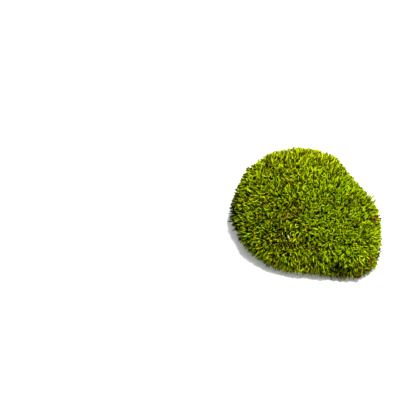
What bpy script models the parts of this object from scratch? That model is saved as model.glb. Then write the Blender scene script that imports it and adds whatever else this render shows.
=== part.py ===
"""A cushion of moss, cut off flat at its base, with the dry litter caught between its shoots.

Metres, +Z up.  The origin is the middle of the cushion's extent on the flat cut base, which
lies on the plane z = 0.  The cushion is lopsided: its far corner is at +X -Y.
"""

import math
import random

import bmesh
import bpy
from mathutils import Matrix, Vector, noise
from mathutils.geometry import delaunay_2d_cdt

MM = 0.001
SEED = 7
COLLECTION = "moss_clump"
FIT_GAP = 0.4 * MM                   # clearance kept between the litter and the cushion

# ---- the cushion ------------------------------------------------------------------------
# Radius of the widest level, at even steps anticlockwise from +X.
RIM_RADII = [radius * MM for radius in
             (55.5, 47.5, 48, 52, 55.5, 54.5, 54.5, 56.5, 58, 57, 56.5, 54.5, 53, 62, 68, 60.5)]
CUSHION_HEIGHT = 46 * MM             # top of the smooth dome, below the tips of its tufts
BELLY_HEIGHT = 11 * MM               # level of the widest outline
BELLY_SHARE = 0.84                   # that level's share of the way from crown to cut edge
BASE_TUCK = 6 * MM                   # how far the cut edge stands in from the widest outline
SQUARENESS = 2.35                    # 2 gives an ellipse, more gives fuller shoulders
CROWN_SHIFT = Vector((-5 * MM, 3 * MM, 0))

# Swells and hollows of the dome: angle in degrees, share of the way down, reach and rise.
SWELLS = (
    (128, 0.52, 17 * MM, 2.2 * MM),      # high left shoulder at the back
    (57, 0.52, 6 * MM, 2.4 * MM),        # knob above the steep right flank
    (-12, 0.50, 18 * MM, 1.8 * MM),      # right shoulder
    (-47, 0.66, 16 * MM, 2.0 * MM),      # far corner
    (201, 0.36, 11 * MM, -2.4 * MM),     # furrow that runs down the left of the face
    (237, 0.38, 11 * MM, -2.8 * MM),
    (261, 0.54, 11 * MM, -2.6 * MM),
    (-72, 0.76, 8 * MM, -4.0 * MM),      # dark hollow above the front edge
    (215, 0.70, 13 * MM, 1.4 * MM),      # lower left lip
)

# Tufts of shoots: each is a peak with a ring of low points round it.
TUFT_COUNT = 860
PROFILE_STEPS = 60                   # steps down the profile in which its area is summed
CUT_EDGE_POINTS = 88
LOWEST_TUFT = 0.962                  # share of the way down of the last tufts
TUFT_RISE = 1.9 * MM
TUFT_DEPTH = 3.8 * MM                # how deep one sees between the shoots
TUFT_UNEVEN = 0.45                   # share of the rise that differs from tuft to tuft
DEPTH_UNEVEN = 0.5                   # share of the depth that differs from patch to patch
DEPTH_PATCH = 9 * MM
TUFT_SCATTER = 0.30                  # share of the spacing by which tufts stray
TUFT_DROOP = 0.5 * MM                # how far the tips on the sides hang
LOWEST_TIP = 1.0 * MM                # no tip comes nearer to the resting plane
STRAY_SPRIG = (6, 0.62, 4.0 * MM)   # one shoot that stands out: angle, share and rise

# ---- the litter ---------------------------------------------------------------------------
# Each lies at an angle and share on the dome, turned by a heading about the surface's normal.
NEEDLE = {"angle": 165, "share": 0.12, "heading": -25, "length": 7.0 * MM, "width": 0.9 * MM}
STRAW = {"angle": 240, "share": 0.32, "heading": 40, "length": 8.5 * MM, "width": 0.9 * MM}
LEAF = {"angle": 249, "share": 0.46, "heading": 110, "length": 3.8 * MM, "width": 1.6 * MM}
SCALE = {"angle": 336, "share": 0.54, "heading": -30, "length": 4.6 * MM, "width": 2.6 * MM}
FLAKE = {"angle": 312, "share": 0.72, "heading": 40, "length": 5.5 * MM, "width": 3.2 * MM}
CRUMB = {"angle": 303, "share": 0.88, "heading": 75, "length": 6.0 * MM, "width": 2.6 * MM}
NEST_REACH = 5.0 * MM                # hollow among the tufts in which a piece of litter lies
NEST_DEPTH = 2.8 * MM
PERCH_MARGIN = 2.5 * MM              # tufts this far round a piece still hold it up
NEEDLE_BOW = 0.5 * MM                # bow of the needle sideways at its ends
NEEDLE_LIFT = 0.3 * MM               # and upwards
STRAW_TURN = math.radians(115)       # angle through which the straw is bent
STRAW_LIFT = 0.15 * MM
BLADE_THICKNESS = 0.5 * MM
LEAF_CUP = 0.5 * MM                  # height of a blade's cupped sides over its middle
SCALE_CUP = 0.8 * MM
BLADE_TIP = 0.12                     # share of its width that a blade keeps at its ends
FLAKE_THICKNESS = 0.34               # share of the flake's width
FLAKE_GRAIN = 1.3 * MM               # size of the lumps that wear makes
FLAKE_WEAR = Vector((0.35, 0.30, 0.18)) * MM
WEAR_SEED = 1795514887               # picks one set of lumps, the same in every run


def clear_scene():
    """Remove the objects that are in the file."""
    for stale in list(bpy.data.objects):
        bpy.data.objects.remove(stale, do_unlink=True)


def material(name, colour, roughness):
    """Return a Principled material of one colour."""
    made = bpy.data.materials.new(name)
    made.use_nodes = True
    shader = made.node_tree.nodes["Principled BSDF"]
    shader.inputs["Base Color"].default_value = (*colour, 1.0)
    shader.inputs["Roughness"].default_value = roughness
    shader.inputs["Metallic"].default_value = 0.0
    made.diffuse_color = (*colour, 1.0)
    return made


def add_object(name, mesh, collection, finish):
    """Link a mesh as one named object with its material."""
    mesh.materials.append(finish)
    made = bpy.data.objects.new(name, mesh)
    collection.objects.link(made)
    return made


def mesh_from(bm, name):
    """Turn a bmesh into a mesh whose faces point out."""
    bmesh.ops.recalc_face_normals(bm, faces=bm.faces)
    mesh = bpy.data.meshes.new(name)
    bm.to_mesh(mesh)
    bm.free()
    return mesh


# ---- the dome's form ----------------------------------------------------------------------
def rim_radius(angle):
    """Radius of the widest level, on a smooth closed curve through RIM_RADII."""
    count = len(RIM_RADII)
    place = (angle / math.tau) % 1.0 * count
    index = int(place)
    t = place - index
    before, start, end, after = (RIM_RADII[(index + step) % count] for step in (-1, 0, 1, 2))
    bend = (2 * start + (end - before) * t
            + (2 * before - 5 * start + 4 * end - after) * t ** 2
            + (3 * start - before - 3 * end + after) * t ** 3)
    return 0.5 * bend


def smooth_dome(angle, share):
    """Point of the bare dome: share runs from 0 at the crown to 1 at the cut edge."""
    radius = rim_radius(angle)
    if share <= BELLY_SHARE:
        slope = 0.5 * math.pi * share / BELLY_SHARE
        out, level = math.sin(slope), max(0.0, math.cos(slope))
        swell = (out ** SQUARENESS + level ** SQUARENESS) ** (-1 / SQUARENESS)
        reach = radius * out * swell
        height = BELLY_HEIGHT + (CUSHION_HEIGHT - BELLY_HEIGHT) * level * swell
    else:
        below = (share - BELLY_SHARE) / (1 - BELLY_SHARE)
        reach = radius - BASE_TUCK * below ** 2
        height = BELLY_HEIGHT * (1 - below)
    shift = CROWN_SHIFT * (height / CUSHION_HEIGHT)
    return Vector((reach * math.cos(angle), reach * math.sin(angle), height)) + shift


def dome_normal(angle, share):
    """Outward direction of the bare dome."""
    step = 0.01
    low = max(step, min(share, 1 - step))
    along = smooth_dome(angle, low + step) - smooth_dome(angle, low - step)
    across = smooth_dome(angle + step, low) - smooth_dome(angle - step, low)
    return along.cross(across).normalized()


def dome(angle, share):
    """Point of the dome with its swells and hollows and the nests of the litter."""
    point = smooth_dome(angle, share)
    normal = dome_normal(angle, share)
    settle = 1 - share ** 8             # the cut edge keeps its place on the resting plane
    rise = 0.0
    for swell_angle, swell_share, reach, height in SWELLS:
        centre = smooth_dome(math.radians(swell_angle), swell_share)
        rise += height * math.exp(-((point - centre).length / reach) ** 2)
    for piece in (NEEDLE, STRAW, LEAF, SCALE, FLAKE, CRUMB):
        centre = smooth_dome(math.radians(piece["angle"]), piece["share"])
        rise -= NEST_DEPTH * math.exp(-((point - centre).length / NEST_REACH) ** 2)
    return point + normal * rise * settle


# ---- the cushion --------------------------------------------------------------------------
def even_shares(count):
    """Shares of the way down the dome that part its surface into rings of equal area."""
    steps = [LOWEST_TUFT * step / PROFILE_STEPS for step in range(PROFILE_STEPS + 1)]
    profile = [smooth_dome(0.5 * math.pi, share) - CROWN_SHIFT for share in steps]
    areas = [0.0]
    for above, below in zip(profile, profile[1:]):
        middle = 0.5 * (above + below)
        areas.append(areas[-1] + math.hypot(middle.x, middle.y) * (below - above).length)
    shares = []
    step = 0
    for index in range(count):
        wanted = areas[-1] * (index + 0.5) / count
        while areas[step + 1] < wanted:
            step += 1
        part_way = (wanted - areas[step]) / (areas[step + 1] - areas[step])
        shares.append(steps[step] + part_way * (steps[step + 1] - steps[step]))
    return shares


def tuft_places():
    """Spread the tufts evenly over the dome in a sunflower's order, each a little astray."""
    draw = random.Random(SEED)
    golden = math.pi * (3 - math.sqrt(5))
    spacing = 1 / math.sqrt(TUFT_COUNT)
    places = []
    for index, share in enumerate(even_shares(TUFT_COUNT)):
        angle = index * golden
        x = share * math.cos(angle) + draw.uniform(-1, 1) * TUFT_SCATTER * spacing
        y = share * math.sin(angle) + draw.uniform(-1, 1) * TUFT_SCATTER * spacing
        if math.hypot(x, y) < LOWEST_TUFT:
            places.append(Vector((x, y)))
    return places


def cut_edge_places():
    """Even places round the edge of the cut base."""
    steps = (math.tau * index / CUT_EDGE_POINTS for index in range(CUT_EDGE_POINTS))
    return [Vector((math.cos(angle), math.sin(angle))) for angle in steps]


def lift_tufts(bm, tips, lows):
    """Raise the tips and sink the low points along the dome's normals."""
    bm.normal_update()
    draw = random.Random(SEED + 1)
    moves = {}
    for vertex in tips:
        uneven = 1 + TUFT_UNEVEN * draw.uniform(-1, 1)
        droop = Vector((0, 0, -TUFT_DROOP * (1 - vertex.normal.z)))
        moves[vertex] = vertex.normal * TUFT_RISE * uneven + droop
    for vertex in lows:
        uneven = 1 + DEPTH_UNEVEN * noise.noise(vertex.co / DEPTH_PATCH)
        moves[vertex] = vertex.normal * -TUFT_DEPTH * uneven
    sprig_angle, sprig_share, sprig_rise = STRAY_SPRIG
    root = dome(math.radians(sprig_angle), sprig_share)
    sprig = min(tips, key=lambda vertex: (vertex.co - root).length)
    moves[sprig] += sprig.normal * sprig_rise
    for vertex, move in moves.items():
        vertex.co += move
        vertex.co.z = max(vertex.co.z, LOWEST_TIP)


def cushion_bmesh():
    """Build the cushion: a net over the dome, a peak at each tuft, and the flat cut base."""
    tufts = tuft_places()
    edge = cut_edge_places()
    flat, _, faces, *_ = delaunay_2d_cdt(tufts + edge, [], [], 0, 1e-6)
    bm = bmesh.new()
    for place in flat:
        bm.verts.new(dome(math.atan2(place.y, place.x), min(1.0, place.length)))
    bm.verts.ensure_lookup_table()
    for face in faces:
        bm.faces.new([bm.verts[index] for index in face])
    bmesh.ops.recalc_face_normals(bm, faces=bm.faces)
    tips = [vertex for vertex in bm.verts if not vertex.is_boundary]
    rim = [edge for edge in bm.edges if edge.is_boundary]
    ridges = [edge for edge in bm.edges if not edge.is_boundary]
    lows = bmesh.ops.poke(bm, faces=bm.faces)["verts"]
    bmesh.ops.rotate_edges(bm, edges=ridges)
    for edge in rim:
        for vertex in edge.verts:
            vertex.co.z = 0.0
    lift_tufts(bm, tips, lows)
    bmesh.ops.contextual_create(bm, geom=rim)
    bmesh.ops.recalc_face_normals(bm, faces=bm.faces)
    return bm


# ---- the litter ---------------------------------------------------------------------------
def perch(cushion, spot, half_length, half_width):
    """Frame of a piece that lies on the tufts: X along it, Z off the surface, clear by a gap."""
    angle = math.radians(spot["angle"])
    centre = dome(angle, spot["share"])
    up = dome_normal(angle, spot["share"])
    heading = Matrix.Rotation(math.radians(spot["heading"]), 3, up)
    flat = Vector((1, 0, 0)) - up * up.x
    along = heading @ flat.normalized()
    across = up.cross(along)
    tops = [0.0]
    for vertex in cushion.verts:
        offset = vertex.co - centre
        near_along = abs(offset.dot(along)) < half_length + PERCH_MARGIN
        near_across = abs(offset.dot(across)) < half_width + PERCH_MARGIN
        if near_along and near_across and offset.dot(up) > -CUSHION_HEIGHT / 2:
            tops.append(offset.dot(up))
    origin = centre + up * (max(tops) + FIT_GAP)
    return Matrix((along, across, up)).transposed().to_4x4(), origin


def place_mesh(mesh, turn, origin):
    """Move a mesh that was made about the origin to its place on the cushion."""
    mesh.transform(Matrix.Translation(origin) @ turn)


def curved_rod(name, points, radii, half_thickness):
    """Tapered rod through the points, as a closed mesh."""
    curve = bpy.data.curves.new(name, "CURVE")
    curve.dimensions = "3D"
    curve.bevel_depth = half_thickness
    curve.bevel_resolution = 1
    curve.use_fill_caps = True
    spline = curve.splines.new("POLY")
    spline.points.add(len(points) - 1)
    for target, point, radius in zip(spline.points, points, radii):
        target.co = (*point, 1)
        target.radius = radius
    guide = bpy.data.objects.new(name + "_guide", curve)
    bpy.context.scene.collection.objects.link(guide)
    graph = bpy.context.evaluated_depsgraph_get()
    mesh = bpy.data.meshes.new_from_object(guide.evaluated_get(graph))
    bpy.data.objects.remove(guide, do_unlink=True)
    bpy.data.curves.remove(curve)
    bm = bmesh.new()
    bm.from_mesh(mesh)
    bmesh.ops.remove_doubles(bm, verts=bm.verts, dist=0.00001)
    bmesh.ops.recalc_face_normals(bm, faces=bm.faces)
    bm.to_mesh(mesh)
    bm.free()
    return mesh


def make_needle(cushion, collection, finish):
    """Dead needle: a thin rod, slightly bowed and pointed at one end."""
    half, thick = 0.5 * NEEDLE["length"], 0.5 * NEEDLE["width"]
    steps = [-1, -0.6, -0.2, 0.2, 0.6, 1]
    points = [(half * s, NEEDLE_BOW * s * s, thick + NEEDLE_LIFT * s * s) for s in steps]
    radii = [0.55, 0.9, 1.0, 0.95, 0.75, 0.3]
    mesh = curved_rod("dry_needle", points, radii, thick)
    place_mesh(mesh, *perch(cushion, NEEDLE, half, thick))
    return add_object("dry_needle", mesh, collection, finish)


def make_straw(cushion, collection, finish):
    """Curl of straw: a rod bent to an arc."""
    thick = 0.5 * STRAW["width"]
    bend_radius = STRAW["length"] / STRAW_TURN
    turns = [0.5 * STRAW_TURN * step / 4 for step in range(-4, 5)]
    points = [(bend_radius * math.sin(turn), bend_radius * (1 - math.cos(turn)),
               thick + STRAW_LIFT * abs(turn)) for turn in turns]
    radii = [0.5, 0.8, 0.95, 1.0, 1.0, 1.0, 0.95, 0.85, 0.6]
    mesh = curved_rod("straw_curl", points, radii, thick)
    sagitta = bend_radius * (1 - math.cos(0.5 * STRAW_TURN))
    place_mesh(mesh, *perch(cushion, STRAW, 0.5 * STRAW["length"], sagitta))
    return add_object("straw_curl", mesh, collection, finish)


def leaf_mesh(name, size, cup, segments):
    """Pointed oval blade, cupped across its width and widest near its foot."""
    bm = bmesh.new()
    bmesh.ops.create_grid(bm, x_segments=segments, y_segments=2, size=1.0)
    for vertex in bm.verts:
        along, across = vertex.co.x, vertex.co.y
        breadth = max(BLADE_TIP, math.cos(0.5 * math.pi * along) ** 0.7) * (1 - 0.18 * along)
        vertex.co.x = 0.5 * size["length"] * along
        vertex.co.y = 0.5 * size["width"] * across * breadth
        vertex.co.z = cup * (across * breadth) ** 2 + 0.5 * cup * along ** 2
    mesh = bpy.data.meshes.new(name)
    bm.to_mesh(mesh)
    bm.free()
    return mesh


def add_blade(name, size, cup, cushion, collection, finish):
    """Lay a thin cupped blade on the cushion."""
    mesh = leaf_mesh(name, size, cup, 6)
    place_mesh(mesh, *perch(cushion, size, 0.5 * size["length"], 0.5 * size["width"]))
    made = add_object(name, mesh, collection, finish)
    solid = made.modifiers.new("thickness", "SOLIDIFY")
    solid.thickness = BLADE_THICKNESS
    solid.offset = 1.0
    return made


def add_flake(name, size, seed, cushion, collection, finish):
    """Broken flake of bark: a low block, worn uneven and split along its length."""
    bm = bmesh.new()
    bmesh.ops.create_cube(bm, size=1.0)
    bmesh.ops.subdivide_edges(bm, edges=bm.edges, cuts=3, use_grid_fill=True)
    length, width = size["length"], size["width"]
    thickness = FLAKE_THICKNESS * width
    for vertex in bm.verts:
        along, across, level = vertex.co
        taper = 1 - 0.5 * abs(across)
        hump = 1 - 0.9 * along ** 2
        vertex.co = Vector((length * along * taper, width * across, thickness * level * hump))
        vertex.co += noise.noise_vector(vertex.co / FLAKE_GRAIN + Vector((seed, 0, 0))) * FLAKE_WEAR
        vertex.co.z += 0.5 * thickness + FLAKE_WEAR.z
    mesh = mesh_from(bm, name)
    place_mesh(mesh, *perch(cushion, size, 0.5 * length, 0.5 * width))
    return add_object(name, mesh, collection, finish)


def stand_on_origin(objects):
    """Bring the middle of the whole extent over the origin, without a change of level."""
    corners = [Vector(vertex.co) for made in objects for vertex in made.data.vertices]
    middle_x = 0.5 * (min(c.x for c in corners) + max(c.x for c in corners))
    middle_y = 0.5 * (min(c.y for c in corners) + max(c.y for c in corners))
    for made in objects:
        made.data.transform(Matrix.Translation((-middle_x, -middle_y, 0)))


def main():
    """Build the cushion and lay the litter on it."""
    clear_scene()
    noise.seed_set(WEAR_SEED)
    collection = bpy.data.collections.new(COLLECTION)
    bpy.context.scene.collection.children.link(collection)
    moss = material("moss_green", (0.13, 0.17, 0.006), 0.75)
    dry = material("dry_straw", (0.42, 0.22, 0.08), 0.7)
    pale = material("pale_litter", (0.55, 0.47, 0.28), 0.7)
    red = material("red_scale", (0.30, 0.07, 0.04), 0.6)
    bark = material("dark_bark", (0.07, 0.03, 0.015), 0.85)
    cushion = cushion_bmesh()
    made = [
        make_needle(cushion, collection, dry),
        make_straw(cushion, collection, dry),
        add_blade("pale_leaf", LEAF, LEAF_CUP, cushion, collection, pale),
        add_blade("bud_scale", SCALE, SCALE_CUP, cushion, collection, red),
        add_flake("bark_flake", FLAKE, 3, cushion, collection, bark),
        add_flake("bark_crumb", CRUMB, 11, cushion, collection, bark),
    ]
    made.append(add_object("moss_cushion", mesh_from(cushion, "moss_cushion"), collection, moss))
    stand_on_origin(made)


main()
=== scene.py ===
"""The looks of a moss clump: one cushion of moss on a pale floor.

The solids of the frame give the cushion's size and place.  The tufted solid is replaced by a
brown thatch and some thousands of shoots, whose narrow curved leaves end where the solid's
tufts end.  The dry litter that lies in the moss gets finer shapes and finishes of its own.

Metres, +Z up.  The cushion rests on its cut base, on the plane z = 0.
"""

import logging
import math
from dataclasses import dataclass, field
from enum import Enum

import bmesh
import bpy
import numpy as np
from mathutils import Euler, Matrix, Vector, noise


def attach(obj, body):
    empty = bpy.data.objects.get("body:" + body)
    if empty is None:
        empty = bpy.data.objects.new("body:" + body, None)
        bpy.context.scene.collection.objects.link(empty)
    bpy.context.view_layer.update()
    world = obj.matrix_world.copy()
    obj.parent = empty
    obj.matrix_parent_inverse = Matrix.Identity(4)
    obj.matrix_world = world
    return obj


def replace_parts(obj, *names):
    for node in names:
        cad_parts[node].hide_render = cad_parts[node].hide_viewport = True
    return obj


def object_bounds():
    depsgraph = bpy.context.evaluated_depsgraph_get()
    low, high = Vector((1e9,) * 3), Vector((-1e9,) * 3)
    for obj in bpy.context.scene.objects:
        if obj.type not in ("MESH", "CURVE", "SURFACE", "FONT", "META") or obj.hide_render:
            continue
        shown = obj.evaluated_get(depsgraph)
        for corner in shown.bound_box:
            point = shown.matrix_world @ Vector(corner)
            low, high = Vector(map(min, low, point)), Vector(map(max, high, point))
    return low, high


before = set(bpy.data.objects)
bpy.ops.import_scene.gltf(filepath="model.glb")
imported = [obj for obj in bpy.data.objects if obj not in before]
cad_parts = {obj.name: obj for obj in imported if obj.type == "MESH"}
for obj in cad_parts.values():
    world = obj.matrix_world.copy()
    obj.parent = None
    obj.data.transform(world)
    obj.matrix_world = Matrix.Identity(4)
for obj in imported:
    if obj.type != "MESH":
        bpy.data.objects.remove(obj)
CAD_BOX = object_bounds()

LOG = logging.getLogger("moss_clump")
MM = 0.001
GOLDEN_ANGLE = math.pi * (3 - math.sqrt(5))
NOISE_SEED = 1                      # of the vector noise, which the clock would set otherwise
MERGE = 0.001 * MM                  # distance within which corners of a solid are one
FLOOR_GAP = 0.3 * MM                # of what lies on the floor
WIDTHS = (0.75, 1.25)               # least and most share of a leaf's usual width
STEM_EAST = (0.31, 0.95, 0.05)      # direction from which turns round a stem are counted
MIX_A, MIX_B, MIX_RESULT = 6, 7, 2  # colour sockets of a Mix node
Colour = tuple[float, float, float]
Place = tuple[float, float, float]
Array = np.ndarray


# ---- shared helpers ----
def unit(rows: Array) -> Array:
    """Scale each row of an array to length one."""
    tiny = 1e-12
    return rows / np.maximum(np.linalg.norm(rows, axis=-1, keepdims=True), tiny)


def at_right_angles(axis: Array, seed: Array) -> Array:
    """Return unit vectors across unit axes, as near as can be to the seed vectors."""
    return unit(seed - axis * np.sum(seed * axis, axis=-1, keepdims=True))


def places_of(corners: object) -> Array:
    """Return the places of a mesh's corners, one a row."""
    return np.array([corner.co[:] for corner in corners])


def outward_from(up: Array, turn: Array) -> Array:
    """Return unit vectors away from stems.

    Args:
        up: the stems' unit directions, one a row.
        turn: angles round the stems.

    Returns:
        Unit vectors at right angles to the stems.
    """
    east = at_right_angles(up, np.tile(STEM_EAST, (len(up), 1)))
    north = np.cross(up, east)
    return east * np.cos(turn)[:, None] + north * np.sin(turn)[:, None]


@dataclass(frozen=True)
class Drift:
    """Smooth change of a quality from patch to patch of the cushion."""

    grain: float   # size of the patches
    shift: float   # offset that picks another noise
    strength: float = 1.0
    part: int = 0  # part of the vectors that gives plain numbers

    def vectors(self, places: Array) -> Array:
        """Sample the drift as vectors.

        Args:
            places: places, one a row.

        Returns:
            Vectors with parts of about minus to plus the strength, one a row.
        """
        offset = Vector((self.shift, -self.shift, 0.5 * self.shift))
        samples = [noise.noise_vector(Vector(place) / self.grain + offset) for place in places]
        return self.strength * np.array(samples)

    def numbers(self, places: Array) -> Array:
        """Sample the drift as plain numbers, one a place."""
        return self.vectors(places)[:, self.part]


class Slot(Enum):
    """The record's material slots."""

    MOSS = "moss"
    NEEDLE = "dry_litter"
    STRAW = "straw"
    LEAF = "pale_litter"
    SCALE = "red_scale"
    BARK = "bark"


def add_piece(name: str, mesh: bpy.types.Mesh, finish: bpy.types.Material) -> bpy.types.Object:
    """Link a mesh as a piece of the object that rides on its only body.

    Args:
        name: the piece's name.
        mesh: its mesh.
        finish: its material.

    Returns:
        The new object.
    """
    mesh.materials.append(finish)
    made = bpy.data.objects.new(name, mesh)
    bpy.context.scene.collection.objects.link(made)
    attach(made, "root")
    LOG.info("%s: %d faces", name, len(mesh.polygons))
    return made


# ---- finishes ----
def new_material(name: str, roughness: float, specular: float) -> tuple[bpy.types.Material, object]:
    """Create a material with a plain Principled shader.

    Args:
        name: the material's name.
        roughness: the shader's roughness.
        specular: the shader's specular level.

    Returns:
        The material and its Principled shader node.
    """
    made = bpy.data.materials.new(name)
    made.use_nodes = True
    shader = made.node_tree.nodes["Principled BSDF"]
    shader.inputs["Roughness"].default_value = roughness
    shader.inputs["Specular IOR Level"].default_value = specular
    shader.inputs["Metallic"].default_value = 0.0
    return made, shader


def add_ramp(nodes: object, stops: tuple[tuple[float, Colour], ...]) -> object:
    """Add a Color Ramp node with the given stops.

    Args:
        nodes: the node tree's nodes.
        stops: pairs of place and colour, in rising order.

    Returns:
        The ramp node.
    """
    ramp = nodes.new("ShaderNodeValToRGB")
    elements = ramp.color_ramp.elements
    while len(elements) > 1:
        elements.remove(elements[-1])
    elements[0].position, elements[0].color = stops[0][0], (*stops[0][1], 1)
    for place, colour in stops[1:]:
        elements.new(place).color = (*colour, 1)
    return ramp


class Socket(Enum):
    """Kinds of socket that the node groups use."""

    COLOUR = "NodeSocketColor"
    NUMBER = "NodeSocketFloat"
    VECTOR = "NodeSocketVector"


def new_group(name: str, inputs: dict[str, tuple[Socket, object]],
              outputs: dict[str, Socket]) -> tuple[bpy.types.NodeTree, object, object]:
    """Start a shader node group.

    Args:
        name: the group's name.
        inputs: each input's kind and first value.
        outputs: each output's kind.

    Returns:
        The group, its input node and its output node.
    """
    group = bpy.data.node_groups.new(name, "ShaderNodeTree")
    for label, (kind, value) in inputs.items():
        made = group.interface.new_socket(label, in_out="INPUT", socket_type=kind.value)
        made.default_value = value
    for label, kind in outputs.items():
        group.interface.new_socket(label, in_out="OUTPUT", socket_type=kind.value)
    return group, group.nodes.new("NodeGroupInput"), group.nodes.new("NodeGroupOutput")


def grain_group() -> bpy.types.NodeTree:
    """Build the group that mottles a dry surface and roughens it.

    Returns:
        A group that turns two colours into a mottled colour, a roughness and a normal.
    """
    group, start, end = new_group(
        "dry_grain",
        {"Light": (Socket.COLOUR, (1, 1, 1, 1)), "Dark": (Socket.COLOUR, (0, 0, 0, 1)),
         "Stretch": (Socket.VECTOR, (1.0, 1.0, 1.0)), "Scale": (Socket.NUMBER, 900.0),
         "Bump": (Socket.NUMBER, 0.4)},
        {"Color": Socket.COLOUR, "Roughness": Socket.NUMBER, "Normal": Socket.VECTOR})
    nodes, links = group.nodes, group.links
    place = nodes.new("ShaderNodeTexCoord")
    stretch = nodes.new("ShaderNodeVectorMath")
    stretch.operation = "MULTIPLY"
    links.new(place.outputs["Object"], stretch.inputs[0])
    links.new(start.outputs["Stretch"], stretch.inputs[1])
    fine = nodes.new("ShaderNodeTexNoise")
    fine.inputs["Detail"].default_value = 5.0
    fine.inputs["Roughness"].default_value = 0.62
    links.new(stretch.outputs[0], fine.inputs["Vector"])
    links.new(start.outputs["Scale"], fine.inputs["Scale"])
    spread = nodes.new("ShaderNodeMapRange")
    spread.inputs["From Min"].default_value = 0.34
    spread.inputs["From Max"].default_value = 0.66
    links.new(fine.outputs["Fac"], spread.inputs["Value"])
    blend = nodes.new("ShaderNodeMix")
    blend.data_type = "RGBA"
    links.new(spread.outputs["Result"], blend.inputs["Factor"])
    links.new(start.outputs["Dark"], blend.inputs[MIX_A])
    links.new(start.outputs["Light"], blend.inputs[MIX_B])
    dull = nodes.new("ShaderNodeMapRange")
    dull.inputs["To Min"].default_value = 0.9
    dull.inputs["To Max"].default_value = 0.6
    links.new(fine.outputs["Fac"], dull.inputs["Value"])
    bump = nodes.new("ShaderNodeBump")
    bump.inputs["Distance"].default_value = 0.25 * MM
    links.new(start.outputs["Bump"], bump.inputs["Strength"])
    links.new(fine.outputs["Fac"], bump.inputs["Height"])
    links.new(blend.outputs[MIX_RESULT], end.inputs["Color"])
    links.new(dull.outputs["Result"], end.inputs["Roughness"])
    links.new(bump.outputs["Normal"], end.inputs["Normal"])
    return group


@dataclass(frozen=True)
class DryFinish:
    """Finish of a dead, dry piece: two colours mottled along its grain."""

    name: str
    light: Colour
    dark: Colour
    stretch: Place = (1.0, 1.0, 1.0)
    scale: float = 900.0
    bump: float = 0.4
    roughness: float = 0.8  # of the bare shader, before the grain's own
    specular: float = 0.01

    def build(self, grain: bpy.types.NodeTree) -> bpy.types.Material:
        """Make the material.

        Args:
            grain: the shared grain group.

        Returns:
            The finished material.
        """
        made, shader = new_material(self.name, self.roughness, self.specular)
        nodes, links = made.node_tree.nodes, made.node_tree.links
        effect = nodes.new("ShaderNodeGroup")
        effect.node_tree = grain
        effect.inputs["Light"].default_value = (*self.light, 1)
        effect.inputs["Dark"].default_value = (*self.dark, 1)
        effect.inputs["Stretch"].default_value = self.stretch
        effect.inputs["Scale"].default_value = self.scale
        effect.inputs["Bump"].default_value = self.bump
        for label, socket in (("Color", "Base Color"), ("Roughness", "Roughness"), ("Normal", "Normal")):
            links.new(effect.outputs[label], shader.inputs[socket])
        return made


@dataclass(frozen=True)
class LeafFinish:
    """Finish of the living leaves.

    The leaf's map holds its painted light along U, from the foot, painted near black as the
    shade deep between the leaves, to the tip, painted bright as lit, and its hue along V,
    from dead brown over green and moss green to lime and yellow.
    """

    name: str = "moss_leaf"
    chart: str = "OFBake"  # the map's layer
    # foot: painted shade, the near black colour of a leaf's lower part; light: ramp of the painted light
    # from the foot to the tip
    foot: Colour = (0.0012, 0.0014, 0.0002)
    light: tuple[tuple[float, float], ...] = ((0.00, 0.00), (0.20, 0.045), (0.37, 0.81), (0.60, 0.92))
    hue: tuple[tuple[float, Colour], ...] = (
        (0.00, (0.150, 0.058, 0.010)),
        (0.10, (0.150, 0.086, 0.008)),
        (0.20, (0.130, 0.120, 0.0015)),
        (0.36, (0.144, 0.274, 0.0013)),
        (0.60, (0.255, 0.338, 0.0014)),
        (0.82, (0.352, 0.370, 0.0018)),
        (1.00, (0.415, 0.348, 0.0028)),
    )
    dull: float = 0.80     # roughness of the foot
    smooth: float = 0.45   # roughness of the tip
    specular: float = 0.005

    def build(self) -> bpy.types.Material:
        """Make the material.

        Returns:
            The finished material.
        """
        made, shader = new_material(self.name, self.dull, self.specular)
        nodes, links = made.node_tree.nodes, made.node_tree.links
        chart = nodes.new("ShaderNodeUVMap")
        chart.uv_map = self.chart
        parts = nodes.new("ShaderNodeSeparateXYZ")
        links.new(chart.outputs["UV"], parts.inputs[0])
        light = add_ramp(nodes, tuple((place, (level,) * 3) for place, level in self.light))
        links.new(parts.outputs["X"], light.inputs["Fac"])
        hue = add_ramp(nodes, self.hue)
        links.new(parts.outputs["Y"], hue.inputs["Fac"])
        blend = nodes.new("ShaderNodeMix")
        blend.data_type = "RGBA"
        blend.inputs[MIX_A].default_value = (*self.foot, 1)
        links.new(light.outputs["Color"], blend.inputs["Factor"])
        links.new(hue.outputs["Color"], blend.inputs[MIX_B])
        links.new(blend.outputs[MIX_RESULT], shader.inputs["Base Color"])
        gloss = nodes.new("ShaderNodeMapRange")
        gloss.inputs["To Min"].default_value = self.dull
        gloss.inputs["To Max"].default_value = self.smooth
        links.new(parts.outputs["X"], gloss.inputs["Value"])
        links.new(gloss.outputs["Result"], shader.inputs["Roughness"])
        return made


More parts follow.
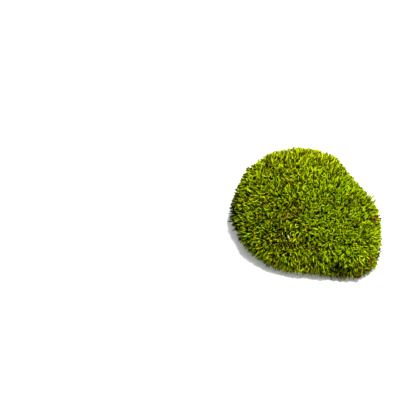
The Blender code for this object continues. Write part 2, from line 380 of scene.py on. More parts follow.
# ---- the cushion's smooth form ----
@dataclass
class Dome:
    """Smooth surface through the upper halves of the solid's tufts."""

    node: bpy.types.Object
    rounds: int = 14
    pull: float = 0.5             # towards the neighbours, which smooths
    push: float = -0.53           # back out, which keeps the size
    lift: float = 1.45 * MM       # from the tufts' middle, which the smoothing finds
    cut_level: float = 0.01 * MM  # below it a corner is on the cut base
    points: Array = field(init=False)
    normals: Array = field(init=False)
    faces: Array = field(init=False)
    on_cut: Array = field(init=False)

    def build(self) -> None:
        """Merge the solid's corners and smooth its tufts away without shrinking it."""
        bm = bmesh.new()
        bm.from_mesh(self.node.data)
        bmesh.ops.remove_doubles(bm, verts=bm.verts, dist=MERGE)
        bmesh.ops.triangulate(bm, faces=bm.faces)
        bm.verts.ensure_lookup_table()
        points = places_of(bm.verts)
        edges = np.array([[vertex.index for vertex in edge.verts] for edge in bm.edges])
        self.faces = np.array([[vertex.index for vertex in face.verts] for face in bm.faces])
        bm.free()
        self.on_cut = points[:, 2] < self.cut_level
        links = edges[~self.on_cut[edges].all(axis=1)]
        count = np.bincount(links.ravel(), minlength=len(points))[:, None]
        for step in range(2 * self.rounds):
            total = np.zeros_like(points)
            np.add.at(total, links[:, 0], points[links[:, 1]])
            np.add.at(total, links[:, 1], points[links[:, 0]])
            shift = (total / np.maximum(count, 1) - points) * (self.push if step % 2 else self.pull)
            shift[self.on_cut] = 0
            points = points + shift
        self.points = points
        self.normals = self.point_normals()
        self.points = points + self.normals * np.where(self.on_cut, 0, self.lift)[:, None]

    def skin_faces(self) -> Array:
        """Return the faces that aren't on the cut base."""
        return self.faces[~self.on_cut[self.faces].all(axis=1)]

    def point_normals(self) -> Array:
        """Return each point's outward direction, leaving the cut base out."""
        skin = self.skin_faces()
        a, b, c = (self.points[skin[:, corner]] for corner in range(3))
        flat = np.cross(b - a, c - a)
        total = np.zeros_like(self.points)
        for corner in range(3):
            np.add.at(total, skin[:, corner], flat)
        return unit(total)

    def nearest(self, places: Array) -> list[int]:
        """Return the index of the point nearest to each place."""
        return [int(np.argmin(np.linalg.norm(self.points - place, axis=1))) for place in places]

    def scatter(self, spacing: float, crowding: int, seed: int) -> tuple[Array, Array]:
        """Spread places over the skin, none nearer to another than the spacing.

        Args:
            spacing: least distance between two places.
            crowding: tries for each place that would fit.
            seed: seed of the random draws.

        Returns:
            The places and the skin's normals there.
        """
        draw = np.random.default_rng(seed)
        skin = self.skin_faces()
        a, b, c = (self.points[skin[:, corner]] for corner in range(3))
        area = 0.5 * np.linalg.norm(np.cross(b - a, c - a), axis=1)
        tries = int(crowding * area.sum() / spacing ** 2)
        pick = draw.choice(len(skin), size=tries, p=area / area.sum())
        mix = draw.random((tries, 2))
        fold = mix.sum(axis=1) > 1
        mix[fold] = 1 - mix[fold]
        weights = np.column_stack([1 - mix.sum(axis=1), mix])[:, :, None]
        places = (self.points[skin[pick]] * weights).sum(axis=1)
        normals = unit((self.normals[skin[pick]] * weights).sum(axis=1))
        kept: list[int] = []
        cells: dict[tuple[int, int, int], list[int]] = {}
        for index, place in enumerate(places):
            home = tuple(int(part) for part in np.floor(place / spacing))
            near = (cells.get((home[0] + i, home[1] + j, home[2] + k), ())
                    for i in (-1, 0, 1) for j in (-1, 0, 1) for k in (-1, 0, 1))
            if all(np.sum((places[other] - place) ** 2) > spacing ** 2
                   for cell in near for other in cell):
                cells.setdefault(home, []).append(index)
                kept.append(index)
        return places[kept], normals[kept]


# ---- leaves ----
def blade_faces(rings: int) -> Array:
    """List the triangles of one blade: rings of four corners, a closed foot and a tip.

    Args:
        rings: number of rings.

    Returns:
        The triangles' corners, one triangle a row, facing out.
    """
    foot = [(0, 3, 1), (1, 3, 2)]
    wall = []
    for ring in range(rings):
        for side in range(4):
            a, b = 4 * ring + side, 4 * ring + (side + 1) % 4
            if ring < rings - 1:
                wall += [(a, b, b + 4), (a, b + 4, a + 4)]
            else:
                wall.append((a, b, 4 * rings))
    return np.array(foot + wall)


@dataclass
class Blades:
    """Many small blades as arrays: each is closed, channelled above, keeled below and pointed."""

    root: Array
    along: Array
    side: Array
    bend: Array
    length: Array
    width: Array
    hue: Array
    light: Array

    STATIONS = (0.0, 0.28, 0.56, 0.82)       # of the rings along the blade
    BREADTHS = (0.70, 1.0, 0.90, 0.55)       # of the rings, in widths
    CHANNEL = 0.18                           # depths in half widths
    KEEL = 0.62
    LEVELS = (0.03, 0.32, 0.60, 0.84, 0.98)  # of U, the painted light, at the rings and the tip: painted shade at the foot, bright at the tip
    PAINTED_LIGHT_SHARES = (0.46, 1.0, 0.46, 0.30)         # of U on left edge, channel, right edge and keel: painted shade on the edges and the keel, a painted highlight along the channel
    FOOT_SHARE = 0.5                         # of U at the foot's middle corner, for some area
    LEAST_LIGHT = 0.09
    HUE_HALF_WIDTH = 0.006
    LEAST_LENGTH = 0.3                       # share that a shortened blade keeps
    FACES = blade_faces(len(STATIONS))
    FOOT_LOOPS = 6                           # corners of the two triangles that close the foot

    @classmethod
    def joined(cls, sets: list["Blades"]) -> "Blades":
        """Return all blades of several sets in one."""
        return cls(*(np.concatenate(parts) for parts in zip(*(each.arrays() for each in sets))))

    def arrays(self) -> tuple[Array, ...]:
        """Return the arrays in the order of the fields."""
        return (self.root, self.along, self.side, self.bend, self.length, self.width, self.hue, self.light)

    def take(self, chosen: Array) -> "Blades":
        """Return the blades with the chosen indices."""
        return Blades(*(values[chosen] for values in self.arrays()))

    def keep_inside(self, margin: Array | float) -> None:
        """Shorten the blades whose tips would stand too far out of the frame's box.

        Args:
            margin: distance that they may stand out.
        """
        low, high = np.array(CAD_BOX[0]) - margin, np.array(CAD_BOX[1]) + margin
        still = 1e-9
        reach = (self.along + self.bend) * self.length[:, None]
        tip = self.root + reach
        safe = np.where(np.abs(reach) < still, still, reach)
        share = np.where(tip > high, (high - self.root) / safe, 1.0)
        share = np.minimum(share, np.where(tip < low, (low - self.root) / safe, 1.0))
        self.length = self.length * np.clip(share.min(axis=1), self.LEAST_LENGTH, 1.0)

    def corners(self) -> Array:
        """Work out the corners: rings of left, channel, right and keel, then the tip.

        Returns:
            An array of blades by corners by three.
        """
        long = self.length[:, None]
        out = np.empty((len(self.root), 4 * len(self.STATIONS) + 1, 3))
        for ring, (place, breadth) in enumerate(zip(self.STATIONS, self.BREADTHS)):
            half = (0.5 * breadth * self.width)[:, None]
            centre = self.root + (self.along * place + self.bend * place ** 2) * long
            centre[:, 2] = np.maximum(centre[:, 2], FLOOR_GAP + half[:, 0])
            forward = unit(self.along + 2 * place * self.bend)
            side = at_right_angles(forward, self.side)
            up = np.cross(side, forward)
            out[:, 4 * ring] = centre - side * half
            out[:, 4 * ring + 1] = centre - up * half * self.CHANNEL
            out[:, 4 * ring + 2] = centre + side * half
            out[:, 4 * ring + 3] = centre - up * half * self.KEEL
        out[:, -1] = self.root + (self.along + self.bend) * long
        out[:, -1, 2] = np.maximum(out[:, -1, 2], FLOOR_GAP)
        return out

    def chart(self) -> Array:
        """Work out the map: painted light and shade along U, hue along V.

        Returns:
            An array of blades by loops by two.
        """
        rings = len(self.STATIONS)
        u = np.append(np.outer(self.LEVELS[:rings], self.PAINTED_LIGHT_SHARES).ravel(), self.LEVELS[rings])
        v = np.append(np.tile((-1, 0, 1, 0), rings), 0)
        loops = self.FACES.ravel()
        loop_u = u[loops]
        loop_u[:self.FOOT_LOOPS][loops[:self.FOOT_LOOPS] == 1] *= self.FOOT_SHARE
        out = np.empty((len(self.root), len(loops), 2))
        out[:, :, 0] = loop_u * np.clip(self.light, self.LEAST_LIGHT, 1.0)[:, None]
        hue = np.clip(self.hue, 2 * self.HUE_HALF_WIDTH, 1 - 2 * self.HUE_HALF_WIDTH)
        out[:, :, 1] = hue[:, None] + v[loops] * self.HUE_HALF_WIDTH
        return out

    def mesh(self, name: str, chart: str | None) -> bpy.types.Mesh:
        """Join the blades in one mesh.

        Args:
            name: the mesh's name.
            chart: the layer for the map, or None for no map.

        Returns:
            The mesh.
        """
        corners = self.corners()
        count, size = corners.shape[:2]
        loops = (self.FACES.ravel()[None, :] + size * np.arange(count)[:, None]).ravel()
        made = bpy.data.meshes.new(name)
        made.vertices.add(count * size)
        made.vertices.foreach_set("co", corners.ravel().astype(np.float32))
        made.loops.add(len(loops))
        made.loops.foreach_set("vertex_index", loops.astype(np.int32))
        made.polygons.add(count * len(self.FACES))
        made.polygons.foreach_set("loop_start", np.arange(0, len(loops), 3, dtype=np.int32))
        if chart:
            layer = made.uv_layers.new(name=chart)
            layer.data.foreach_set("uv", self.chart().ravel().astype(np.float32))
        made.update(calc_edges=True)
        made.shade_flat()
        return made


@dataclass(frozen=True)
class Patch:
    """Patch of the cushion that differs from the rest, with its sizes in millimetres."""

    centre: Place
    reach: float
    hue: float = 0.0    # towards yellow, or green if negative
    light: float = 0.0  # painted light, or painted shade if negative
    rise: float = 0.0   # taller shoots, or lower if negative
    dead: float = 0.0   # more dead leaves
    size: float = 0.0   # bigger leaves, or smaller if negative

    def weight(self, places: Array) -> Array:
        """Say how far the patch counts at each place, from 0 to 1."""
        distance = np.linalg.norm(places - np.array(self.centre) * MM, axis=1)
        return np.exp(-(distance / (self.reach * MM)) ** 2)


# A patch's light paints light or shade into the colour of its leaves.
PATCHES = (
    Patch((38, -10, 36), 42, hue=-0.08, light=0.56, size=-0.24),    # dense right half: smaller, greener leaves, with painted light
    Patch((-10, 44, 36), 26, hue=0.10, light=0.08),                 # yellower rim at the back, with painted light
    Patch((16, 43, 32), 18, hue=0.10, light=0.08),
    Patch((28, 38, 30), 12, hue=0.06, light=0.10, rise=2.0),
    Patch((-50, 26, 30), 14, hue=0.05, light=-0.14, rise=1.4),
    Patch((-42, 18, 38), 16, hue=0.02, light=0.02, size=0.10),
    Patch((3, 22, 43), 6, hue=-0.05, light=-0.09, rise=-0.6),       # small gap behind the crown: lower shoots, with painted shade
    Patch((-15, -19, 43), 8, light=-0.20, dead=0.36),               # brown places: more dead leaves, and darker
    Patch((-37, -13, 36), 7, light=-0.06, dead=0.24),
    Patch((-25, -36, 31), 11, light=-0.14, dead=0.22),
    Patch((-6, -40, 30), 7, light=-0.07, dead=0.16),
    Patch((-14, -48, 22), 7, light=-0.10),
    Patch((-60, -2, 20), 11, light=-0.50, size=0.25),               # left flank painted darker as the painted shadow of a neighbouring cushion, with bigger leaves
    Patch((-58, 14, 28), 12, light=-0.31),
    Patch((-58, -20, 12), 13, hue=-0.04, light=-0.50, size=0.15),
    Patch((-48, -30, 18), 12, hue=-0.18, light=-0.04),
    Patch((20, -52, 15), 8, light=-0.50, rise=-2.2, dead=0.08),     # hollow above the front edge: lower shoots, with painted shade
    Patch((32, -53, 11), 7, light=-0.14, dead=0.22),
    Patch((55, -46, 7), 8, hue=0.05, light=0.30, rise=3.0),         # lip below the notch at the right: taller shoots, with painted light
    Patch((52, -43, 17), 6, rise=-3.4, size=-0.2),
    Patch((54, -9, 26), 14, hue=0.10, light=0.06),                  # right side: yellower, with painted light
    Patch((54, -33, 22), 10, hue=0.08, light=0.06),
    Patch((24, -44, 33), 16, hue=-0.09),
    Patch((20, 0, 43), 20, hue=-0.06, light=0.05),
    Patch((51, 4, 28), 10, rise=-2.8),
    Patch((-19, -24, 38), 8, rise=3.3, size=0.10),                  # under the litter
    Patch((47, -19, 30), 6, rise=1.8),
    Patch((-17, -36, 32), 6, rise=1.6),
    Patch((-15, 6, 44), 6, rise=0.9),
    Patch((36, -53, 7), 5, rise=1.2),
    Patch((4, -32, 36), 24, hue=-0.09, light=0.04),
)


@dataclass(frozen=True)
class LeafRow:
    """Leaves that stand at one height round every shoot."""

    count: int
    length: float
    width: float
    opening: float  # degrees away from the shoot's direction
    height: float   # of the leaves' feet along the stem, 1 at its top
    light: float    # how far the painted light runs down from the tip; below it the leaf is painted dark as shade


LEAF_ROWS = (
    LeafRow(count=1, length=6.2 * MM, width=0.90 * MM, opening=28, height=0.90, light=0.75),
    LeafRow(count=1, length=7.0 * MM, width=0.90 * MM, opening=32, height=0.45, light=0.75),
)


@dataclass
class Growth:
    """How each shoot differs with the patch that it stands in."""

    hue: Array
    light: Array
    rise: Array  # in metres
    dead: Array  # share of dead leaves
    size: Array  # share of the usual size of the leaves

    def add(self, patch: Patch, places: Array) -> None:
        """Let a patch change the shoots that stand in it.

        Args:
            patch: the patch.
            places: the shoots' places.
        """
        weight = patch.weight(places)
        self.hue += patch.hue * weight
        self.light += patch.light * weight
        self.rise += patch.rise * MM * weight
        self.dead += patch.dead * weight
        self.size += patch.size * weight


@dataclass(frozen=True)
class Stragglers:
    """Single leaves that stand out of the right flank, with their tips in millimetres."""

    tips: tuple[Place, ...] = (
        (40.6, 8.4, 36.3), (47.0, 4.9, 35.3), (49.0, 2.6, 34.8), (51.6, 2.4, 33.6), (53.0, 0.4, 32.1))
    lean: Place = (0.50, 0.25, 0.83)
    breadthwise: Place = (1.0, -0.4, 0.0)
    count: int = 3            # at each place
    spread: float = 0.4 * MM  # of the tips at a place
    stray: float = 0.14
    length: float = 8.0 * MM
    width: float = 1.3 * MM
    hue: float = 0.42
    light: float = 0.90
    seed: int = 31

    def blades(self) -> Blades:
        """Return the leaves, which lean the same way but for a little stray."""
        draw = np.random.default_rng(self.seed)
        tips = np.repeat(np.array(self.tips) * MM, self.count, axis=0)
        tips += self.spread * draw.normal(size=tips.shape)
        along = unit(np.array(self.lean) + self.stray * draw.normal(size=tips.shape))
        side = at_right_angles(along, np.tile(self.breadthwise, (len(tips), 1)))
        level = np.ones(len(tips))
        return Blades(tips - along * self.length, along, side, np.zeros_like(tips), self.length * level,
                      self.width * level, self.hue * level, self.light * level)


@dataclass(frozen=True)
class Props:
    """Leaves that reach up round the litter and hold it."""

    count: int = 20          # for each piece
    depth: float = 4.0 * MM  # of their feet under the dome
    past: float = 0.2 * MM   # of their tips beyond the litter
    stray: float = 0.9 * MM  # of their feet
    tip_stray: float = 0.6   # share of that at their tips
    width: float = 0.9 * MM
    hue: float = 0.55
    hue_stray: float = 0.15
    light: float = 0.75
    lights: tuple[float, float] = (0.85, 1.1)  # least and most share of the painted light
    seed: int = 41

    def blades(self, dome: Dome) -> Blades:
        """Return the leaves.

        Args:
            dome: the cushion's smooth form.

        Returns:
            The leaves, piece by piece.
        """
        draw = np.random.default_rng(self.seed)
        corners = [places_of(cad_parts[piece.node].data.vertices) for piece in LITTER]
        held = np.concatenate([each[draw.integers(len(each), size=self.count)] for each in corners])
        nearest = dome.nearest(held)
        normal = dome.normals[nearest]
        height = np.sum((held - dome.points[nearest]) * normal, axis=1)[:, None]
        tip = held + normal * self.past + self.tip_stray * self.stray * draw.normal(size=held.shape)
        root = held - normal * (height + self.depth) + self.stray * draw.normal(size=held.shape)
        along = unit(tip - root)
        side = at_right_angles(along, draw.normal(size=tip.shape))
        total = len(tip)
        width = self.width * draw.uniform(*WIDTHS, total)
        hue = self.hue + self.hue_stray * draw.normal(size=total)
        light = self.light * draw.uniform(*self.lights, total)
        return Blades(root, along, side, np.zeros_like(tip), np.linalg.norm(tip - root, axis=1),
                      width, hue, light)


@dataclass
class Shoots:
    """The living shoots: each stem carries a few long leaves round its upper end."""

    dome: Dome
    rows: tuple[LeafRow, ...] = LEAF_ROWS
    spacing: float = 1.10 * MM
    crowding: int = 12                # tries for each shoot that would fit
    depth: float = 10.0 * MM          # of a stem's foot under the dome
    apex: float = -2.0 * MM           # of a stem's top over the dome
    uneven: float = 0.55 * MM
    rise: Drift = Drift(9 * MM, 5.2, 0.35 * MM, part=2)
    lean: Drift = Drift(18 * MM, 3.1, 0.32)  # of whole patches of shoots
    stray: float = 0.50               # of single shoots
    upward: Place = (0.0, 0.0, 0.10)  # pull of the light on every shoot
    sweep: Drift = Drift(10 * MM, 9.4, 0.20)  # bend that a patch's leaves share
    curl: float = 0.08                # bend of single leaves
    splay: float = 0.06               # bend away from the stem
    twist: float = 0.3                # of the blades about their length
    opening_spread: float = 16.0      # degrees
    lengths: tuple[float, float] = (0.72, 1.15)  # least and most share of the row's length
    hue: float = 0.57
    hue_broad: Drift = Drift(16 * MM, 7.7)
    hue_fine: Drift = Drift(6 * MM, 1.3, 0.6, part=1)
    hue_drift: float = 0.05
    shoot_hue: float = 0.05           # stray from shoot to shoot
    leaf_hue: float = 0.15            # stray from leaf to leaf
    least_hue: float = 0.22           # of a living leaf
    light: Drift = Drift(7 * MM, 4.4, 0.03)
    leaf_light: float = 0.06          # stray from leaf to leaf
    dead: float = 0.03                # share of dead leaves
    dead_hues: tuple[float, float] = (0.0, 0.16)
    low: float = 16 * MM              # below it the leaves get duller and browner
    low_light: float = -0.27
    low_dead: float = 0.25
    margin: tuple[float, float, float] = (3.2 * MM, 3.1 * MM, 1.25 * MM)  # past the frame's box
    names: tuple[str, ...] = ("shoots_crown", "shoots_left", "shoots_front", "shoots_right", "shoots_back")
    stragglers: Stragglers = Stragglers()
    props: Props = Props()
    extras_piece: str = "shoots_right"  # which also takes the stragglers and the props
    seed: int = 11

    def build(self, finish: bpy.types.Material, chart: str) -> None:
        """Grow the shoots and join them in pieces by region.

        Args:
            finish: the leaves' material.
            chart: the layer that the material reads.
        """
        draw = np.random.default_rng(self.seed)
        places, normals = self.dome.scatter(self.spacing, self.crowding, self.seed)
        LOG.info("%d shoots", len(places))
        axis = self.axes(places, normals, draw)
        growth = self.growth(places, draw)
        height = self.apex + growth.rise + self.uneven * draw.normal(size=len(places))
        apex = places + axis * height[:, None]
        foot = places - normals * self.depth
        sets = [self.leaves(row, foot, apex, axis, growth, draw) for row in self.rows]
        for name, chosen in self.regions(places).items():
            parts = [each.take(self.leaves_of(row, chosen, len(places)))
                     for row, each in zip(self.rows, sets)]
            if name == self.extras_piece:
                parts += [self.stragglers.blades(), self.props.blades(self.dome)]
            blades = Blades.joined(parts)
            blades.keep_inside(np.array(self.margin))
            add_piece(name, blades.mesh(name, chart), finish)

    def axes(self, places: Array, normals: Array, draw: np.random.Generator) -> Array:
        """Return the shoots' directions, which lean a little from the surface's normals."""
        stray = draw.normal(size=places.shape)
        return unit(normals + self.lean.vectors(places) + self.stray * stray + np.array(self.upward))

    def growth(self, places: Array, draw: np.random.Generator) -> Growth:
        """Work out how each shoot differs with its place.

        Args:
            places: the shoots' places.
            draw: source of the random draws.

        Returns:
            The shoots' growth.
        """
        drift = self.hue_broad.numbers(places) + self.hue_fine.numbers(places)
        stray = draw.normal(size=len(places))
        low = np.clip(1 - places[:, 2] / self.low, 0, 1)
        made = Growth(hue=self.hue + self.hue_drift * drift + self.shoot_hue * stray,
                      light=self.light.numbers(places) + self.low_light * low,
                      rise=self.rise.numbers(places),
                      dead=self.dead + self.low_dead * low,
                      size=np.ones(len(places)))
        for patch in PATCHES:
            made.add(patch, places)
        return made

    def leaves(self, row: LeafRow, foot: Array, apex: Array, axis: Array, growth: Growth,
               draw: np.random.Generator) -> Blades:
        """Set one row of leaves round every stem.

        Args:
            row: the row.
            foot: the stems' lowest points.
            apex: the stems' tops.
            axis: the shoots' directions.
            growth: how the shoots differ.
            draw: source of the random draws.

        Returns:
            The row's leaves, shoot by shoot.
        """
        count = len(foot)
        owner = np.repeat(np.arange(count), row.count)
        total = len(owner)
        stem = apex - foot
        up = unit(unit(stem) + axis)[owner]
        turn = draw.uniform(0, math.tau, count)[owner] + GOLDEN_ANGLE * np.tile(np.arange(row.count), count)
        outward = outward_from(up, turn)
        opening = np.radians(row.opening + draw.normal(scale=self.opening_spread, size=total))
        along = unit(up * np.cos(opening)[:, None] + outward * np.sin(opening)[:, None])
        root = (foot + stem * row.height)[owner]
        sweep = self.sweep.vectors(apex)[owner]
        bend = sweep + self.splay * outward + draw.normal(scale=self.curl, size=(total, 3))
        bend -= along * np.sum(bend * along, axis=1, keepdims=True)
        twist = draw.normal(scale=self.twist, size=(total, 3))
        side = at_right_angles(along, np.cross(outward, up) + twist)
        size = growth.size[owner]
        length = row.length * size * draw.uniform(*self.lengths, total)
        width = row.width * size * draw.uniform(*WIDTHS, total)
        hue = np.maximum(growth.hue[owner] + self.leaf_hue * draw.normal(size=total), self.least_hue)
        is_dead = draw.random(total) < growth.dead[owner]
        hue[is_dead] = draw.uniform(*self.dead_hues, is_dead.sum())
        light = row.light + growth.light[owner] + self.leaf_light * draw.normal(size=total)
        return Blades(root, along, side, bend, length, width, hue, light)

    @staticmethod
    def leaves_of(row: LeafRow, chosen: Array, count: int) -> Array:
        """Return the indices in a row's arrays of the chosen shoots' leaves."""
        return np.arange(count * row.count).reshape(count, row.count)[chosen].ravel()

    def regions(self, places: Array) -> dict[str, Array]:
        """Part the shoots in five pieces of like size: the crown and four sides.

        Args:
            places: the shoots' places.

        Returns:
            The shoots of each piece, by the piece's name.
        """
        crown, *sides = self.names
        by_height = np.argsort(-places[:, 2])
        share = len(places) // len(self.names)
        rest = by_height[share:]
        ring = rest[np.argsort(np.arctan2(places[rest, 1], places[rest, 0]))]
        return {crown: by_height[:share], **dict(zip(sides, np.array_split(ring, len(sides))))}


@dataclass
class Thatch:
    """The body under the shoots: old stems and fibres, cut off flat below, their dark brown painted near
    black as the shade deep inside the cushion.
    """

    dome: Dome
    inset: float = 7.5 * MM       # under the dome, on the upper part
    cut_inset: float = 2.0 * MM   # at the cut edge
    flank: float = 12 * MM        # level up to which the inset grows
    bulge: float = 0.4            # of the faces when they are parted
    height: float = 1.3 * MM      # of the lumps
    lumps: tuple[tuple[float, float], ...] = ((4.0 * MM, 0.6), (1.5 * MM, 0.4))  # sizes, shares
    flat_level: float = 0.2 * MM  # below it the cut base is flat

    def build(self, finish: bpy.types.Material) -> None:
        """Build the body inside the shoots, in place of the tufted solid.

        Args:
            finish: the thatch's material.
        """
        bm = bmesh.new()
        low = np.clip(self.dome.points[:, 2] / self.flank, 0, 1)
        inset = self.cut_inset + (self.inset - self.cut_inset) * low
        inward = self.dome.normals.copy()
        inward[self.dome.on_cut, 2] = 0
        sunk = self.dome.points - unit(inward) * inset[:, None]
        verts = [bm.verts.new(point) for point in sunk]
        for face in self.dome.faces:
            bm.faces.new([verts[index] for index in face])
        bmesh.ops.recalc_face_normals(bm, faces=bm.faces)
        bmesh.ops.subdivide_edges(bm, edges=bm.edges, cuts=1, use_grid_fill=True, smooth=self.bulge)
        bm.normal_update()
        for vertex in bm.verts:
            if vertex.co.z > self.flat_level:
                relief = sum(share * noise.noise(vertex.co / size) for size, share in self.lumps)
                vertex.co += vertex.normal * self.height * relief
                vertex.co.z = max(vertex.co.z, FLOOR_GAP)
            else:
                vertex.co.z = 0.0
        mesh = bpy.data.meshes.new("thatch")
        bm.to_mesh(mesh)
        bm.free()
        mesh.shade_smooth()
        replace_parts(add_piece("thatch", mesh, finish), "moss_cushion")


@dataclass
class BaseFibres:
    """Thin brown fibres that hang out of the cut edge, most of them at the front right."""

    dome: Dome
    count: int = 420
    spacing: float = 0.8 * MM  # of the places to choose from
    crowding: int = 4
    top: float = 9.0 * MM      # no fibre grows above it
    thickets: tuple[Patch, ...] = (Patch((31, -54, 8), 12), Patch((18, -52, 12), 8))
    pull: float = 8.0          # of a thicket's middle, against the rest
    root: float = 3.5 * MM     # depth of the fibres' feet
    stray: float = 0.5
    curl: float = 0.5
    droop: Place = (0.0, 0.0, -0.25)
    length: float = 7.0 * MM
    lengths: tuple[float, float] = (0.6, 1.1)
    width: float = 0.24 * MM
    widths: tuple[float, float] = (0.7, 1.3)
    margin: float = 2.5 * MM   # past the frame's box
    seed: int = 23

    def build(self, finish: bpy.types.Material) -> None:
        """Build the fibres.

        Args:
            finish: their material.
        """
        draw = np.random.default_rng(self.seed)
        places, normals = self.dome.scatter(self.spacing, self.crowding, self.seed)
        low = np.flatnonzero(places[:, 2] < self.top)
        pull = np.ones(len(low))
        for patch in self.thickets:
            pull += self.pull * patch.weight(places[low])
        chosen = draw.choice(low, size=self.count, replace=False, p=pull / pull.sum())
        out = unit(normals[chosen] + draw.normal(scale=self.stray, size=(self.count, 3)))
        bend = draw.normal(scale=self.curl, size=(self.count, 3)) + np.array(self.droop)
        side = at_right_angles(out, draw.normal(size=(self.count, 3)))
        blades = Blades(places[chosen] - normals[chosen] * self.root, out, side, bend,
                        self.length * draw.uniform(*self.lengths, self.count),
                        self.width * draw.uniform(*self.widths, self.count),
                        np.zeros(self.count), np.ones(self.count))
        blades.keep_inside(self.margin)
        add_piece("base_fibres", blades.mesh("base_fibres", None), finish)


# ---- litter ----
@dataclass(frozen=True)
class LitterPiece:
    """A dry bit in the moss: the frame's solid with a finer, worn surface."""

    node: str
    slot: Slot
    finish: DryFinish
    wear: float = 0.12 * MM  # height of the lumps
    grain: float = 0.9 * MM  # size of the lumps
    slim: float = 1.0        # share of the solid's breadth that is left
    bulge: float = 0.6       # of the faces when they are parted

    def build(self, group: bpy.types.NodeTree) -> None:
        """Build the worn piece in place of the solid.

        Args:
            group: the shared grain group.
        """
        bm = bmesh.new()
        bm.from_mesh(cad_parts[self.node].data)
        bmesh.ops.remove_doubles(bm, verts=bm.verts, dist=MERGE)
        bmesh.ops.subdivide_edges(bm, edges=bm.edges, cuts=1, use_grid_fill=True, smooth=self.bulge)
        bmesh.ops.triangulate(bm, faces=bm.faces)
        points = places_of(bm.verts)
        centre = Vector(points.mean(axis=0))
        breadth = Vector(np.linalg.svd(points - points.mean(axis=0), full_matrices=False)[2][1])
        for vertex in bm.verts:
            vertex.co -= breadth * (vertex.co - centre).dot(breadth) * (1 - self.slim)
        bm.normal_update()
        for vertex in bm.verts:
            vertex.co += vertex.normal * self.wear * noise.noise(vertex.co / self.grain)
        name = f"worn_{self.node}"
        mesh = bpy.data.meshes.new(name)
        bm.to_mesh(mesh)
        bm.free()
        mesh.shade_smooth()
        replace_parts(add_piece(name, mesh, self.finish.build(group)), self.node)


NEEDLE_SKIN = DryFinish("dry_needle_skin", (0.28, 0.15, 0.010), (0.13, 0.055, 0.004))
STRAW_SKIN = DryFinish("straw_skin", (0.17, 0.090, 0.012), (0.055, 0.028, 0.005))
PALE_SKIN = DryFinish("pale_leaf_skin", (0.44, 0.39, 0.19), (0.12, 0.10, 0.03), scale=500)
SCALE_SKIN = DryFinish("bud_scale_skin", (0.150, 0.028, 0.010), (0.040, 0.008, 0.003))
BARK_SKIN = DryFinish("bark_skin", (0.056, 0.020, 0.004), (0.010, 0.004, 0.001), scale=600, bump=0.8)
BROWN_CRUMB_SKIN = DryFinish("brown_crumb_skin", (0.120, 0.050, 0.008), (0.020, 0.008, 0.002), scale=300)
PALE_CRUMB_SKIN = DryFinish("pale_crumb_skin", (0.360, 0.260, 0.130), (0.130, 0.080, 0.040), scale=300)
# Near black: the old stems' dark brown, darkened further as painted shade of the cushion's deep inside.
THATCH_SHADE_SKIN = DryFinish("thatch_painted_shade", (0.0100, 0.0090, 0.0016), (0.0024, 0.0026, 0.0005),
                        stretch=(1, 1, 0.45), scale=700, bump=0.8, specular=0.01)
FIBRE_SKIN = DryFinish("brown_fibre", (0.060, 0.027, 0.011), (0.018, 0.0084, 0.0042),
                       scale=500, specular=0.05)
LITTER = (
    LitterPiece("dry_needle", Slot.NEEDLE, NEEDLE_SKIN),
    LitterPiece("straw_curl", Slot.STRAW, STRAW_SKIN),
    LitterPiece("pale_leaf", Slot.LEAF, PALE_SKIN, wear=0.08 * MM, slim=0.55),
    LitterPiece("bud_scale", Slot.SCALE, SCALE_SKIN),
    LitterPiece("bark_flake", Slot.BARK, BARK_SKIN, wear=0.3 * MM),
    LitterPiece("bark_crumb", Slot.BARK, BARK_SKIN, wear=0.3 * MM),
)


@dataclass(frozen=True)
class Crumbs:
    """Small bits of one kind that lie between the leaves' tips.

    Some lie at places of their own, in millimetres, and the others anywhere on the cushion.
    """

    name: str
    slot: Slot
    finish: DryFinish
    places: tuple[Place, ...]
    others: int
    spacing: float
    sizes: tuple[float, float]  # least and most half length
    seed: int
    crowding: int = 6
    rise: tuple[float, float] = (0.2, 1.2)  # millimetres over the dome
    breadths: tuple[float, float] = (0.35, 0.7)  # in lengths
    thickness: float = 0.35     # in lengths
    lumps: float = 0.2          # height in lengths
    lump_size: float = 0.5 * MM

    def build(self, dome: Dome, group: bpy.types.NodeTree) -> None:
        """Build the bits as one piece.

        Args:
            dome: the cushion's smooth form.
            group: the shared grain group.
        """
        draw = np.random.default_rng(self.seed)
        own = np.array(self.places) * MM
        nearest = dome.nearest(own)
        places, normals = dome.scatter(self.spacing, self.crowding, self.seed)
        places = np.concatenate([own, places[:self.others]])
        normals = np.concatenate([dome.normals[nearest], normals[:self.others]])
        bm = bmesh.new()
        for place, normal in zip(places, normals):
            size = draw.uniform(*self.sizes)
            spot = Vector(place) + Vector(normal) * draw.uniform(*self.rise) * MM
            turn = Euler(draw.uniform(0, math.tau, 3)).to_matrix().to_4x4()
            shape = Matrix.Diagonal((size, size * draw.uniform(*self.breadths), size * self.thickness, 1))
            made = bmesh.ops.create_icosphere(bm, subdivisions=1, radius=1.0,
                                              matrix=Matrix.Translation(spot) @ turn @ shape)
            for vertex in made["verts"]:
                vertex.co += noise.noise_vector(vertex.co / self.lump_size) * self.lumps * size
        mesh = bpy.data.meshes.new(self.name)
        bm.to_mesh(mesh)
        bm.free()
        add_piece(self.name, mesh, self.finish.build(group))


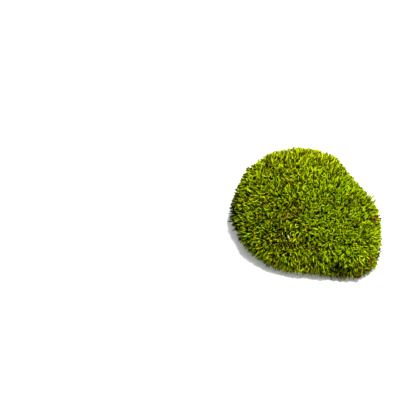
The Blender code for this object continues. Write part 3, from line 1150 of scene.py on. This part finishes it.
BROWN_PLACES = ((-25, -21, 36.5), (-8, -40, 27), (-3, -14, 42.5), (-11, -32.5, 33.5), (-1.5, -34, 35.5),
                (32.5, -52, 16), (-16, -11.5, 42), (-20, -27.5, 33), (-33, -32, 33.5), (-37, -14, 34.5))
PALE_PLACES = ((-2, -43.5, 28), (6.5, -41.5, 32), (51, -48, 13), (39.5, -30.5, 33), (29, -23, 42))
CRUMBS = (
    Crumbs("brown_crumbs", Slot.BARK, BROWN_CRUMB_SKIN, BROWN_PLACES,
           others=30, spacing=11 * MM, sizes=(0.6 * MM, 1.2 * MM), seed=5),
    Crumbs("pale_crumbs", Slot.LEAF, PALE_CRUMB_SKIN, PALE_PLACES,
           others=14, spacing=16 * MM, sizes=(0.4 * MM, 0.8 * MM), seed=6),
)


# ---- studio ----
@dataclass
class Studio:
    """Plain pale floor, soft light from above, and the camera."""

    floor_half: float = 4.0
    floor_colour: Colour = (0.9, 0.9, 0.9)
    room_light: float = 0.83
    key_energy: float = 58.0
    key_size: float = 0.3
    key_place: Place = (0.20, 0.04, 1.25)
    key_target: Place = (0.0, 0.0, 0.02)
    elevation: float = math.radians(54)
    distance: float = 0.79
    clip_start: float = 0.01
    lens: float = 85.0           # millimetres, as the sensor
    sensor: float = 36.0
    frame_width: float = 0.3328  # of the photographed view at the cushion
    origin_pixel: tuple[float, float] = (306.0, 222.0)  # the part's origin in the photograph
    photo_pixels: float = 416.0

    def build(self) -> None:
        """Set up the floor, the lights and the camera."""
        bpy.context.scene.view_settings.view_transform = "Standard"
        self.floor()
        self.lights()
        self.camera()

    def floor(self) -> None:
        """Lay the floor."""
        finish, shader = new_material("pale_floor", 0.9, 0.0)
        shader.inputs["Base Color"].default_value = (*self.floor_colour, 1)
        mesh = bpy.data.meshes.new("floor")
        bm = bmesh.new()
        bmesh.ops.create_grid(bm, x_segments=1, y_segments=1, size=self.floor_half)
        bm.to_mesh(mesh)
        bm.free()
        mesh.materials.append(finish)
        made = bpy.data.objects.new("floor", mesh)
        bpy.context.scene.collection.objects.link(made)

    def lights(self) -> None:
        """Hang one soft light high above, a little to the right, in a pale room."""
        world = bpy.data.worlds.new("pale_room")
        bpy.context.scene.world = world
        world.use_nodes = True
        sky = world.node_tree.nodes["Background"]
        sky.inputs["Color"].default_value = (1, 1, 1, 1)
        sky.inputs["Strength"].default_value = self.room_light
        key = bpy.data.lights.new("key", "AREA")
        key.shape = "DISK"
        key.size = self.key_size
        key.energy = self.key_energy
        lamp = bpy.data.objects.new("key", key)
        bpy.context.scene.collection.objects.link(lamp)
        lamp.location = self.key_place
        aim = Vector(self.key_target) - lamp.location
        lamp.rotation_euler = aim.to_track_quat("-Z", "Y").to_euler()

    def camera(self) -> None:
        """Set the camera so that the cushion stands where the photograph shows it."""
        data = bpy.data.cameras.new("camera")
        data.lens = self.lens
        data.sensor_width = self.sensor
        data.clip_start = self.clip_start
        made = bpy.data.objects.new("camera", data)
        bpy.context.scene.collection.objects.link(made)
        look = Vector((0, math.cos(self.elevation), -math.sin(self.elevation)))
        right = Vector((1, 0, 0))
        up = right.cross(look)
        pixel = self.frame_width / self.photo_pixels
        half = 0.5 * self.photo_pixels
        aim = right * (half - self.origin_pixel[0]) * pixel + up * (self.origin_pixel[1] - half) * pixel
        made.location = aim - look * self.distance
        made.rotation_euler = Matrix((right, up, -look)).transposed().to_euler()
        bpy.context.scene.camera = made


def main() -> None:
    """Build every piece in turn."""
    logging.basicConfig(level=logging.INFO, format="%(message)s")
    noise.seed_set(NOISE_SEED)
    Studio().build()
    grain = grain_group()
    dome = Dome(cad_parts["moss_cushion"])
    dome.build()
    Thatch(dome).build(THATCH_SHADE_SKIN.build(grain))
    leaf = LeafFinish()
    Shoots(dome).build(leaf.build(), leaf.chart)
    BaseFibres(dome).build(FIBRE_SKIN.build(grain))
    for piece in LITTER:
        piece.build(grain)
    for crumbs in CRUMBS:
        crumbs.build(dome, grain)


if __name__ == "__main__":
    main()
